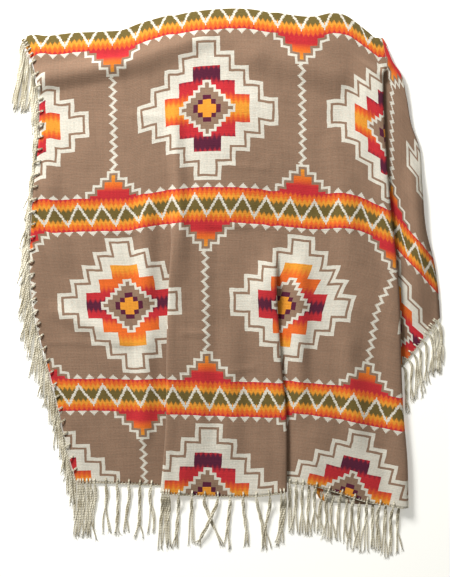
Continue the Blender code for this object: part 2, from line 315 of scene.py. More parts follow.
@dataclass(frozen=True)
class Pleat:
    """A pleat that runs up the face, widest at the hem."""

    line: Points  # its visible edge, from the hem up
    depth: float
    ends: float  # share of the way to the top at which it has run out
    facing: Facing
    middle: int  # stretches of the sheet between its two bends
    lips: Pair  # radius of the bend at its visible edge, at the hem and at the top
    closes: float = 16.0  # depth from which it lies folded flat
    hangs: float = 0.0  # how much lower than the face the layer inside it ends at the hem
    hangs_most: float = 0.88  # share of the run through the pleat at which it hangs lowest
    hang_fade: float = 0.12  # share of that run, and of the way to the top, over which this fades

    def lip(self, share: float) -> float:
        """Radius of the bend at its visible edge, at a share of the way from hem to top."""
        return self.lips[0] + (self.lips[1] - self.lips[0]) * share

    def lower(self, run: np.ndarray, share: float) -> np.ndarray:
        """How much lower its inner layer lies, from the visible edge to the hidden one."""
        hump = np.minimum(run / self.hangs_most, 1) * smooth_step((1 - run) / self.hang_fade)
        return self.hangs * hump * (1 - float(smooth_step(share / self.hang_fade)))


class Section(NamedTuple):
    """A section through a pleat, from its upper layer round two bends to its lower one."""

    depth: float
    out: np.ndarray  # distance of each point past the visible edge
    drop: np.ndarray  # how far it lies below the upper layer
    run: np.ndarray  # share of the cloth's run through the pleat


@dataclass(frozen=True)
class Panel:
    """A stretch of the face between two pleats."""

    name: HemName
    hem: Points
    columns: int


LEFT_HEM: Points = (
    (-400, -532), (-422, -460), (-446, -350), (-470, -250), (-492, -170), (-514, -80),
    (-527, 40), (-524, 160), (-514, 300), (-504, 400), (-502, 480), (-510, 570),
    (-532, 636), (-550, 668),
)
LEFT_PLEAT: Points = (
    (-173, -558), (-165, -470), (-158, -370), (-157, -220), (-155, -120), (-148, 40),
    (-140, 140), (-130, 340), (-132, 480), (-140, 737),
)
CENTRE_PLEAT: Points = (
    (168, -556), (165, -320), (155, -220), (145, -80), (135, 80), (132, 280), (130, 743),
)
SIDE_FOLD: Points = (
    (497, -597), (494, -470), (484, -350), (478, -220), (472, -20), (464, 80),
    (448, 220), (440, 310), (430, 480), (424, 615), (414, 672),
)
WEDGE_EDGE: Points = (
    (585, -82), (580, -10), (570, 60), (545, 160), (535, 280), (528, 380), (507, 440),
    (492, 520), (474, 585), (455, 612), (444, 640), (438, 655),
)
TOP_FOLD: Points = (
    (-550, 668), (-535, 679), (-480, 680), (-410, 688), (-320, 692), (-260, 698),
    (-230, 710), (-180, 725), (-110, 742), (-30, 752), (80, 752), (160, 738),
    (240, 733), (290, 742), (330, 735), (365, 712), (400, 686), (438, 655),
)


@dataclass
class Cloth:
    """The woven sheet, in the folds it is laid out in."""

    finish: TradeWool
    thickness: float = 2.4
    layer_pitch: float = 4.0
    least_depth: float = 0.5  # keeps the points of a section apart where its pleat has run out
    lip_run: float = 7.0  # how far the upper layer stays raised by a pleat's edge, in radii of its bend
    turn_under: float = 400.0  # how much of the top is turned under
    slope_run: float = 70.0  # the face comes down beside a pleat over this run
    column_gap: float = 2.0  # past the layers that lie beneath it
    return_slope: float = 150.0  # and below the turned-under top over this one
    return_taper: float = 0.11  # how much narrower that top lies
    taper_run: float = 60.0
    ripple_fade: float = 45.0  # how far from a pleat's edge the face ripples in full
    level_top: float = 60.0  # run below the top fold over which the relief comes in
    roll_height: float = 7.0  # the turned top is a soft roll, not pressed flat
    roll_rise: float = 42.0
    roll_fall: float = 190.0
    face_length: float = 1305.0  # cloth from the lower hem to the top fold
    hem_level: Pair = (-561.0, -0.0725)  # the lower hem if no pleat drew it up
    hems_differ: float = 0.5  # share of the way to the top over which the panels lie level again
    draws_in: float = 0.9  # how much more a ripple draws the cloth in than its height here does
    wedge_fold: float = 458.0  # where the wedge comes out from under the side fold
    wedge_across: float = 1330.0  # and where that line lies on the flat cloth
    fan_turn: float = 0.00106  # how fast the rows of the pattern steepen towards the wedge's top
    fan_start: float = 0.96  # their slope at the middle of the face
    middle_across: float = 590.0  # where the middle of the centre panel lies on the flat cloth
    rows: int = 182  # stretches of the sheet from the lower hem to the top fold
    left_start: int = 7  # rows from the top fold to where distance along the left hem counts from
    bend_steps: int = 6
    return_rows: int = 14
    # Slack and crumpling: height, size across and up, and a seed
    unevenness: tuple[tuple[float, Pair, float], ...] = (
        (3.6, (74.0, 250.0), 3.7),
        (1.5, (27.0, 38.0), 9.1),
    )
    flat: Pair = (1.68, 1.73)  # metres, the shawl before it was folded
    flat_area: float = 2.05  # square metres of it that are modelled, drawn in towards the top

    pleats: tuple[Pleat, ...] = (
        Pleat(LEFT_PLEAT, depth=34.0, ends=0.70, facing=Facing.LEFT, middle=4, lips=(4.6, 4.6)),
        Pleat(CENTRE_PLEAT, depth=50.0, ends=0.54, facing=Facing.RIGHT, middle=6, lips=(5.6, 5.2)),
        Pleat(
            SIDE_FOLD, depth=250.0, ends=0.94, facing=Facing.RIGHT, middle=14, lips=(9.0, 4.4),
            closes=8.0, hangs=44.0,
        ),
    )
    panels: tuple[Panel, ...] = (
        Panel(HemName.LEFT_PANEL, ((-400, -532), (-340, -530), (-260, -533), (-140, -541)), 46),
        Panel(HemName.CENTRE_PANEL, ((-173, -558), (-50, -566), (90, -566), (168, -556)), 40),
        Panel(
            HemName.RIGHT_PANEL,
            ((118, -526), (170, -530), (240, -536), (310, -555), (390, -580), (497, -597)),
            46,
        ),
        Panel(HemName.WEDGE, ((245, -530), (585, -82)), 36),
    )
    ripples: tuple[Ripple, ...] = (
        Ripple((-520, 560), (-240, 610), 46.0, 14.0),
        Ripple((-240, 610), (-40, 690), 52.0, 10.0),
        Ripple((-212, 230), (-214, -40), 40.0, 12.0),
        Ripple((-214, -110), (-222, -420), 40.0, 9.0),
        Ripple((-135, 480), (-118, 120), 30.0, 8.0),
        Ripple((-60, 240), (-62, -420), 42.0, 6.0),
        Ripple((-480, 300), (-440, 60), 44.0, 7.0),
        Ripple((-470, -60), (-250, -150), 36.0, 7.0),
        Ripple((60, 640), (330, 560), 60.0, 10.0),
        Ripple((205, 60), (205, -330), 36.0, 9.0),
        Ripple((330, -120), (360, -420), 48.0, 9.0),
        Ripple((20, -120), (10, -460), 50.0, 6.0),
        Ripple((300, 420), (330, 150), 52.0, 7.0),
        Ripple((505, 330), (540, 60), 26.0, 7.0),
    )
    # Broad soft swells, which turn the cloth a little to the light or away from it
    swells: tuple[Ripple, ...] = (
        Ripple((205, 60), (212, -500), 100.0, 7.0),
        Ripple((-522, 330), (-520, -150), 80.0, 8.0),
        Ripple((-10, 530), (0, 190), 180.0, 9.0),
        Ripple((300, -330), (312, -500), 100.0, 4.0),
        Ripple((508, 300), (524, -60), 72.0, 10.0),
    )
    creases: tuple[Ripple, ...] = (
        Ripple((-48, 169), (128, 164), 13.0, 2.6),
        Ripple((-338, 152), (-236, 150), 13.0, 2.6),
        Ripple((-222, -62), (-160, -108), 13.0, 3.0),
        Ripple((-262, 470), (-168, 460), 13.0, 2.6),
        Ripple((-480, -148), (-190, -155), 14.0, 1.8),
        Ripple((-118, -124), (-40, -126), 13.0, 2.0),
        Ripple((0, -232), (92, -214), 13.0, 1.8),
        Ripple((190, 172), (420, 160), 14.0, 1.6),
        Ripple((10, 330), (118, 322), 13.0, 1.8),
    )

    def __post_init__(self) -> None:
        """Lay the sheet out, once its sizes are known."""
        self.bend = self.layer_pitch / 2
        self.floor = self.thickness / 2
        self.middle = (TOP_FOLD[0][0] + TOP_FOLD[-1][0]) / 2
        self.points, self.cut = self.sheet_grid()

    def panel_start(self, n: int) -> int:
        """Number of a panel's first column of points, counted across the whole sheet."""
        folds = sum(2 * self.bend_steps + pleat.middle for pleat in self.pleats[:n])
        return folds + sum(panel.columns for panel in self.panels[:n])

    def section(self, pleat: Pleat, share: float) -> Section:
        """Bend the sheet through a pleat.

        Args:
            pleat: the pleat.
            share: share of the way from hem to top.

        Returns:
            The section of the sheet there.
        """
        depth = pleat.depth * max(0.0, 1 - share / pleat.ends)
        turn = -math.pi * float(smooth_step(depth / pleat.closes))
        steps = self.bend_steps
        lip, bend = math.pi * pleat.lip(share) / steps, math.pi * self.bend / steps
        moves = [(turn * (k + 0.5) / steps, lip) for k in range(steps)]
        moves += [(turn, max(depth, self.least_depth) / pleat.middle)] * pleat.middle
        moves += [(turn * (k - 0.5) / steps, bend) for k in range(steps, 0, -1)]
        angle, length = np.array(moves).T
        out, drop, run = (
            np.concatenate([[0.0], np.cumsum(step)])
            for step in (length * np.cos(angle), -length * np.sin(angle), length)
        )
        return Section(depth, out - out[steps // 2], drop, run / run[-1])

    def panel_height(self, n: int, part: np.ndarray, share: float) -> np.ndarray:
        """Find the y of points across a panel.

        Args:
            n: number of the panel.
            part: share of the way across it for each point.
            share: share of the way from hem to top fold.

        Returns:
            The y of each point.
        """
        left = LEFT_HEM if n == 0 else self.pleats[n - 1].line
        right = WEDGE_EDGE if n == len(self.panels) - 1 else self.pleats[n].line
        hem = self.panels[n].hem
        x = hem[0][0] + (hem[-1][0] - hem[0][0]) * part
        low = through(hem, x)
        high = through(TOP_FOLD, left[-1][0] + (right[-1][0] - left[-1][0]) * part)
        if self.panels[n].name is HemName.WEDGE:
            return low + (high - low) * share
        level = self.hem_level[0] + self.hem_level[1] * x
        return level + (high - level) * share + (low - level) * max(0.0, 1 - share / self.hems_differ) ** 2

    def over_fold(self, lip: float, inside: np.ndarray, section: Section) -> np.ndarray:
        """Raise the upper layer of a pleat over what is folded beneath it.

        Args:
            lip: radius of the bend at its visible edge.
            inside: how far inside that edge each point lies.
            section: section through the pleat.

        Returns:
            Rise of each point.
        """
        lift = section.drop[-1]
        puffed = min(lift, 2 * (lip - self.bend))
        edge = puffed * (1 - smooth_step(inside / (self.lip_run * lip)))
        clear = inside - section.depth - self.column_gap
        return edge + (lift - puffed) * (1 - smooth_step(clear / self.slope_run))

    def over_return(self, x: np.ndarray, y: np.ndarray) -> np.ndarray:
        """Raise the face where the turned-under top lies beneath it.

        Args:
            x: the x of each point.
            y: its y.

        Returns:
            Rise of each point.
        """
        before_taper = self.middle + (x - self.middle) / (1 - self.return_taper)
        clear = through(TOP_FOLD, before_taper) - self.turn_under - y - self.column_gap
        return self.layer_pitch * (1 - smooth_step(clear / self.return_slope))

    def relief(self, x: np.ndarray, y: np.ndarray) -> np.ndarray:
        """Add up ripples, swells, creases, slack, crumpling and the top's roll.

        Args:
            x: the x of each point.
            y: its y.

        Returns:
            Height of each point above the smooth sheet.
        """
        total = sum(r.rise(x, y) for r in self.ripples + self.swells + self.creases)
        for height, (wide, long), seed in self.unevenness:
            wave = [noise.noise(Vector((a / wide, b / long, seed))) for a, b in zip(x, y)]
            total = total + height * (0.5 + 0.5 * np.array(wave))
        below = through(TOP_FOLD, x) - y
        roll = np.sin(math.pi / 2 * np.clip(below / self.roll_rise, 0, 1))
        roll *= 1 - smooth_step((below - self.roll_rise) / self.roll_fall)
        return total * smooth_step((below - self.level_top / 2) / self.level_top) + self.roll_height * roll

    def free_face(self, x: np.ndarray, edges: list[float], sections: list[Section]) -> np.ndarray:
        """Find how freely the face ripples at each point of a row.

        Args:
            x: the x of each point.
            edges: the x of each pleat's visible edge.
            sections: section through each pleat.

        Returns:
            For each point 1, and down to 0 in folds and under them.
        """
        free = np.ones_like(x)
        column = np.arange(len(x))
        for n, (pleat, edge, section) in enumerate(zip(self.pleats, edges, sections)):
            first, last = self.panel_start(n) + self.panels[n].columns, self.panel_start(n + 1)
            apart = smooth_step(np.abs(x - edge) / self.ripple_fade)
            under = column > last if pleat.facing is Facing.RIGHT else column < first
            apart = np.where(under & ((x - edge) * pleat.facing.value < 0), 0.0, apart)
            apart[first : last + 1] = 0.0
            free *= 1 - smooth_step(section.depth / pleat.closes) * (1 - apart)
        return free

    def row(self, share: float) -> np.ndarray:
        """Lay out one row of the sheet's middle surface.

        Args:
            share: share of the way from hem to top.

        Returns:
            For each point its x, y, height without relief, and relief.
        """
        sections = [self.section(pleat, share) for pleat in self.pleats]
        edges = [edge_x(pleat.line, share) for pleat in self.pleats]
        starts, stops = [edge_x(LEFT_HEM, share)], []
        for pleat, edge, section in zip(self.pleats, edges, sections):
            side = pleat.facing.value
            stop, start = (edge + side * section.out[0], edge + side * section.out[-1])[::side]
            stops.append(stop)
            starts.append(start)
        stops.append(edge_x(WEDGE_EDGE, share))

        spans = []
        for n, panel in enumerate(self.panels):
            part = np.linspace(0, 1, panel.columns + 1)
            x = starts[n] + (stops[n] - starts[n]) * part
            rise = np.zeros_like(x)
            if n > 0 and self.pleats[n - 1].facing is Facing.LEFT:
                rise = self.over_fold(self.pleats[n - 1].lip(share), x - starts[n], sections[n - 1])
            if n < len(self.pleats) and self.pleats[n].facing is Facing.RIGHT:
                over = self.over_fold(self.pleats[n].lip(share), stops[n] - x, sections[n])
                rise = np.maximum(rise, over)
            spans.append(np.stack([x, self.panel_height(n, part, share), rise]))

        joined = [spans[0]]
        for n, (pleat, edge, section) in enumerate(zip(self.pleats, edges, sections)):
            x, rise, run = edge + section.out, section.drop[-1] - section.drop, section.run
            if pleat.facing is Facing.LEFT:
                x, rise, run = (edge - section.out)[::-1], rise[::-1], 1 - run[::-1]
            before, after = spans[n][1, -1], spans[n + 1][1, 0]
            y = before + (after - before) * run - pleat.lower(run, share)
            joined += [np.stack([x, y, rise])[:, 1:-1], spans[n + 1]]
        x, y, rise = np.concatenate(joined, axis=1)
        relief = self.relief(x, y) * self.free_face(x, edges, sections)
        z = self.floor + rise + self.over_return(x, y)
        return np.stack([x, y, z, relief], axis=1)

    def cut_places(self, rows: list[np.ndarray]) -> list[np.ndarray]:
        """Find where each point of the face lies on the flat cloth.

        The pattern runs on across the pleats and over the ripples, so a point's place is
        its distance along the cloth, counted from the middle of the centre panel. On the
        wedge its rows fan out from the wedge's top.

        Args:
            rows: rows of the face, each point with its x, y, height and relief.

        Returns:
            For each row the places of its points, across and up.
        """
        places = []
        middle = self.panel_start(1) + self.panels[1].columns // 2
        wedge = self.panels[-1].columns + 1
        drawn = np.array(rows) * (1.0, 1.0, 1.0, self.draws_in)
        climbs = np.diff(drawn, axis=0)
        longer = np.linalg.norm(climbs, axis=2) - np.linalg.norm(climbs[:, :, :3], axis=2)
        extra = np.concatenate([np.zeros((1, drawn.shape[1])), np.cumsum(longer, axis=0)])
        fold, top = SIDE_FOLD[0][1], SIDE_FOLD[-1][1]
        for n, (row, line) in enumerate(zip(rows, drawn)):
            share = n / self.rows
            across = lengths_along(line)
            across += self.middle_across - across[middle]
            up = share * self.face_length + extra[n] - share * extra[-1]
            x, y = row[-wedge:, 0], row[-wedge:, 1]
            out = x - self.wedge_fold
            level = (y + self.fan_start * out) / (1 - self.fan_turn * out)
            up[-wedge:] = (level - fold) / (top - fold) * self.face_length
            stretch = np.hypot(1.0, self.fan_start + self.fan_turn * level)
            across[-wedge:] = self.wedge_across + out * stretch
            places.append(np.stack([across, up], axis=1))
        return places

    def sheet_grid(self) -> tuple[np.ndarray, np.ndarray]:
        """Lay out the middle surface, row by row from the hem to the far end.

        Returns:
            Its points, and their places on the flat cloth.
        """
        rows = [self.row(n / self.rows) for n in range(self.rows + 1)]
        places = self.cut_places(rows)
        rows = [row[:, :3] + row[:, 3:] * (0.0, 0.0, 1.0) for row in rows]
        top = rows[-1]
        top[:, 2] = self.floor + self.layer_pitch
        outward = unit(left_of(np.gradient(top[:, :2], axis=0)))
        gone = 0.0
        for k in range(1, self.bend_steps + 1):
            angle = math.pi * k / self.bend_steps
            row = top.copy()
            row[:, :2] += outward * self.bend * math.sin(angle)
            row[:, 2] = self.floor + self.bend + self.bend * math.cos(angle)
            rows.append(row)
            gone += math.pi * self.bend / self.bend_steps
            places.append(places[self.rows] + (0.0, gone))
        for depth in np.linspace(0, self.turn_under, self.return_rows + 1)[1:]:
            taper = 1 - self.return_taper * min(1.0, depth / self.taper_run)
            row = top.copy()
            row[:, 0] = self.middle + (top[:, 0] - self.middle) * taper
            row[:, 1] -= depth
            row[:, 2] = self.floor
            rows.append(row)
            places.append(places[self.rows] + (0.0, gone + depth))
        return np.array(rows), np.array(places)

    def hem_line(self, name: HemName) -> Hem:
        """Read a hem off the sheet.

        Args:
            name: which hem.

        Returns:
            The hem, in the order in which its fringe is laid.
        """
        if name is HemName.LEFT:
            return Hem(self.points[self.rows :: -1, 0], self.left_start)
        n = [panel.name for panel in self.panels].index(name)
        first = self.panel_start(n)
        return Hem(self.points[0, first : first + self.panels[n].columns + 1], 0)

    def build(self) -> bpy.types.Object:
        """Give the middle surface its thickness, as one closed mesh, and dress it.

        Returns:
            The piece.
        """
        down = np.gradient(self.points, axis=0)
        across = np.gradient(self.points, axis=1)
        offset = unit(np.cross(across, down)) * (self.thickness / 2)
        sides = np.stack([self.points + offset, self.points - offset]).reshape(-1, 3)
        rows, columns = self.points.shape[:2]
        lower = rows * columns
        number = np.arange(lower).reshape(rows, columns)
        a, b, c, d = number[:-1, :-1], number[:-1, 1:], number[1:, 1:], number[1:, :-1]
        faces = np.stack([a, b, c, d], axis=-1).reshape(-1, 4).tolist()
        faces += (np.stack([a, d, c, b], axis=-1).reshape(-1, 4) + lower).tolist()
        rim = [*number[0], *number[1:, -1], *number[-1, -2::-1], *number[-2:0:-1, 0]]
        faces += [(q, p, p + lower, q + lower) for p, q in zip(rim, rim[1:] + rim[:1])]
        places = np.concatenate([self.cut.reshape(-1, 2)] * 2) * MM
        return new_piece("wool_cloth", sides, faces, CUT_MAP, places, self.finish.make())


class TubeMesh:
    """Collects tubes in one mesh, with a map of the way round and the way along."""

    def __init__(self) -> None:
        """Start with no tubes."""
        self.vertices: list[np.ndarray] = []
        self.faces: list[tuple[int, ...]] = []
        self.places: list[np.ndarray] = []
        self.count = 0

    def add(self, path: np.ndarray, radii: np.ndarray, sides: int) -> None:
        """Add a closed tube.

        Args:
            path: points along its middle.
            radii: its radius at each of them.
            sides: faces round it.
        """
        heading = unit(np.gradient(path, axis=0), 1e-9)
        across = unit(np.cross(heading, (0.0, 0.0, 1.0)), 1e-9)
        up = np.cross(across, heading)
        angle = np.arange(sides) * 2 * math.pi / sides
        ring = across[:, None] * np.cos(angle)[None, :, None] + up[:, None] * np.sin(angle)[None, :, None]
        points = path[:, None] + ring * radii[:, None, None]
        round_it, along = np.arange(sides) / sides, lengths_along(path) * MM
        places = np.stack(np.broadcast_arrays(round_it[None, :], along[:, None]), axis=-1)
        self.vertices.append(points.reshape(-1, 3))
        self.places.append(places.reshape(-1, 2))
        number = np.arange(len(path) * sides).reshape(len(path), sides) + self.count
        turned = np.roll(number, -1, axis=1)
        quads = np.stack([number[:-1], turned[:-1], turned[1:], number[1:]], axis=-1)
        self.faces += quads.reshape(-1, 4).tolist()
        self.faces += [tuple(number[0][::-1].tolist()), tuple(number[-1].tolist())]
        self.count += len(path) * sides

    def build(self, name: str, material: bpy.types.Material) -> bpy.types.Object:
        """Turn the tubes into one piece of this material."""
        vertices, places = np.concatenate(self.vertices), np.concatenate(self.places)
        return new_piece(name, vertices, self.faces, YARN_MAP, places, material)


def smooth_path(points: np.ndarray, steps: int) -> np.ndarray:
    """Read evenly spaced points from a smooth curve through these.

    Args:
        points: points that the curve goes through.
        steps: stretches to divide it into.

    Returns:
        One point more than there are stretches.
    """
    run = lengths_along(points)
    at = np.linspace(0, run[-1], steps + 1)
    curves = [through(tuple(zip(run, values)), at) for values in points.T]
    return np.stack(curves, axis=1)


@dataclass(frozen=True)
class Fray:
    """Loose fibres at the cut end of a ply."""

    count: int = 5
    length: float = 15.0
    shortest: float = 0.5  # share of that length
    spread: float = 0.42  # how far sideways they aim, as a share of their length
    curl: float = 0.3  # and how far they bend
    falls: float = 0.6  # share of the ply's height by which they come down
    uneven: float = 0.8  # how far one lies above or below its neighbours
    radius: float = 0.5
    taper: tuple[float, ...] = (1.0, 1.0, 0.9, 0.7, 0.35)  # shares of the radius along it
    sides: int = 3

    def add(self, tubes: TubeMesh, end: np.ndarray, draw: random.Random) -> None:
        """Spread the fibres from the last stretch of a ply.

        Args:
            tubes: mesh that gets them.
            end: the last two points of the ply.
            draw: where chance comes from.
        """
        heading = unit(end[1] - end[0])
        across = np.array([*left_of(heading), 0.0])
        part = np.linspace(0, 1, len(self.taper))[:, None]
        for _ in range(self.count):
            length = self.length * draw.uniform(self.shortest, 1.0)
            aim, curl = draw.uniform(-1, 1) * self.spread, draw.uniform(-1, 1) * self.curl
            line = end[0] + heading * part * length + across * (aim * part + curl * part**2) * length
            height = end[0][2] * (1 - self.falls * part[:, 0]) + draw.uniform(-self.uneven, self.uneven)
            line[:, 2] = np.maximum(height, self.radius)
            tubes.add(line, self.radius * np.array(self.taper), self.sides)


@dataclass(frozen=True)
class Strand:
    """A loose strand of plies laid round each other."""

    plies: int = 3
    ply_radius: float = 2.3
    sides: int = 7
    steps: int = 40
    wide: float = 2.8  # how far a ply's middle lies from the strand's, sideways
    high: float = 1.2  # and up and down
    lay: float = 95.0  # length of one turn of the plies
    same_way: float = 0.8  # share of the strands whose plies turn the same way
    pinch: float = 0.5  # how thin it is drawn where it comes out of the cloth
    fills_out: Pair = (0.09, 0.12)  # share of the strand before and while that ends
    opens: Pair = (0.3, 0.85)  # share of the strand after which the plies part
    parting: Pair = (3.5, 12.0)  # how far they part at the end
    uneven: float = 0.35  # share of that by which a ply strays from its place
    # Shares that are lost where the plies have parted
    lost_turn: float = 0.85
    lost_width: float = 0.5
    lost_height: float = 0.7
    lost_radius: float = 0.25
    limp: float = 4.5  # how far a strand strays from its line
    limp_waves: Pair = (1.0, 2.4)  # half waves of that along the strand
    limp_start: float = 3.0  # it strays in full after 1 / 3.0 of its length
    waver: Pair = (0.4, 1.2)  # how far a ply strays at its end
    waver_turn: Pair = (5.0, 11.0)  # radians of that along the strand
    slub: float = 0.16  # how unevenly thick a ply is
    slub_run: Pair = (9.0, 17.0)  # millimetres along the ply for a radian of that
    phase: float = 6.0  # radians by which such a wave may be shifted
    cut_short: float = 3.0  # steps by which a ply may be shorter
    tip: tuple[float, ...] = (0.92, 0.8, 0.55)  # shares of its radius at its last points
    fray: Fray = Fray()

    def add(self, tubes: TubeMesh, path: np.ndarray, draw: random.Random) -> None:
        """Lay the plies of one strand round its middle and fray their ends.

        Args:
            tubes: mesh that gets them.
            path: points along the strand's middle.
            draw: where chance comes from.
        """
        path = smooth_path(path, self.steps)
        share = np.linspace(0, 1, self.steps + 1)
        run = share * np.linalg.norm(np.diff(path, axis=0), axis=1).sum()
        across = left_of(unit(np.gradient(path[:, :2], axis=0)))
        opens = draw.uniform(*self.opens)
        opened = smooth_step((share - opens) / (1 - opens))
        filled = smooth_step((share - self.fills_out[0]) / self.fills_out[1])
        drawn = self.pinch + (1 - self.pinch) * filled
        stray = np.sin(math.pi * share * draw.uniform(*self.limp_waves))
        stray *= smooth_step(self.limp_start * share)
        stray *= self.limp * draw.uniform(-1, 1)
        parting = draw.uniform(*self.parting)
        turned = 2 * math.pi / self.lay * (np.cumsum(1 - self.lost_turn * opened) * run[-1] / self.steps)
        phase = draw.uniform(0, 2 * math.pi)
        way = 1 if draw.random() < self.same_way else -1
        for n, slot in enumerate(np.linspace(-1, 1, self.plies)):
            angle = way * turned + phase + 2 * math.pi * n / self.plies
            apart = parting * (slot + draw.uniform(-self.uneven, self.uneven))
            waver = draw.uniform(*self.waver) * np.sin(
                share * draw.uniform(*self.waver_turn) + draw.uniform(0, self.phase)
            )
            sideways = self.wide * drawn * np.cos(angle) * (1 - self.lost_width * opened)
            sideways = sideways + apart * opened + waver * share + stray
            height = self.high * drawn * (1 + np.sin(angle)) * (1 - self.lost_height * opened)
            slub = 1 + self.slub * np.sin(run / draw.uniform(*self.slub_run) + draw.uniform(0, self.phase))
            radii = self.ply_radius * drawn * slub * (1 - self.lost_radius * opened)
            line = np.empty((self.steps + 1, 3))
            line[:, :2] = path[:, :2] + across * sideways[:, None]
            line[:, 2] = path[:, 2] + (height + self.ply_radius)
            line[0, 2] -= self.ply_radius
            line[:, 2] = np.maximum(line[:, 2], radii)
            last = self.steps + 1 - int(draw.uniform(0, self.cut_short))
            radii = radii[:last]
            radii[-len(self.tip) :] *= self.tip
            tubes.add(line[:last], radii, self.sides)
            self.fray.add(tubes, line[last - 2 : last], draw)


@dataclass(frozen=True)
class Overcast:
    """A thread laid along a hem, and the stitches that sew it down over the edge."""

    beyond: float = 4.0  # how far it runs past the outermost strands
    thread_radius: float = 1.5
    thread_place: Pair = (0.6, 0.9)  # from the middle of the rim, outwards and up
    thread_step: float = 6.0
    thread_sides: int = 6
    pitch: float = 8.5
    inset: float = 3.0  # from the thread's ends to the outermost stitches
    radius: float = 0.8
    sides: int = 5
    bend: Pair = (-0.35, 1.15)  # half turns from which, and to which, a stitch bends
    bend_points: int = 7
    reach: float = 3.6  # how far a stitch goes over the edge
    uneven: float = 0.6
    slant: Pair = (1.0, 2.6)  # how far its ends lie to the two sides
    set_back: float = 1.4  # how far into the cloth its middle lies
    height: Pair = (0.6, 2.3)  # height of its middle above the hem's, and of its arch

    def sew(self, tubes: TubeMesh, hem: Hem, bare: Pair, draw: random.Random) -> None:
        """Lay the thread and sew it down.

        Args:
            tubes: mesh that gets it.
            hem: the hem.
            bare: stretches without strands at its two ends.
            draw: where chance comes from.
        """
        first, last = bare[0] - self.beyond, hem.at[-1] - bare[1] + self.beyond
        spots = np.linspace(first, last, int((last - first) / self.thread_step) + 1)
        past, up = self.thread_place
        line = np.array([hem.point(d) + (*(hem.outward(d) * past), up) for d in spots])
        tubes.add(line, np.full(len(line), self.thread_radius), self.thread_sides)
        bend = np.linspace(*self.bend, self.bend_points) * math.pi
        for d in np.arange(first + self.inset, last - self.inset, self.pitch):
            middle, outward = hem.point(d), hem.outward(d)
            side = left_of(outward)
            reach = self.reach + draw.uniform(-self.uneven, self.uneven)
            slant = draw.uniform(*self.slant)
            out = reach * np.sin(bend) - self.set_back
            rise = self.height[0] + self.height[1] * np.cos(bend)
            shift = np.linspace(-slant, slant, self.bend_points)
            line = np.empty((self.bend_points, 3))
            line[:, :2] = middle[:2] + outward * out[:, None] + side * shift[:, None]
            line[:, 2] = np.maximum(middle[2] + rise, self.radius)
            tubes.add(line, np.full(self.bend_points, self.radius), self.sides)


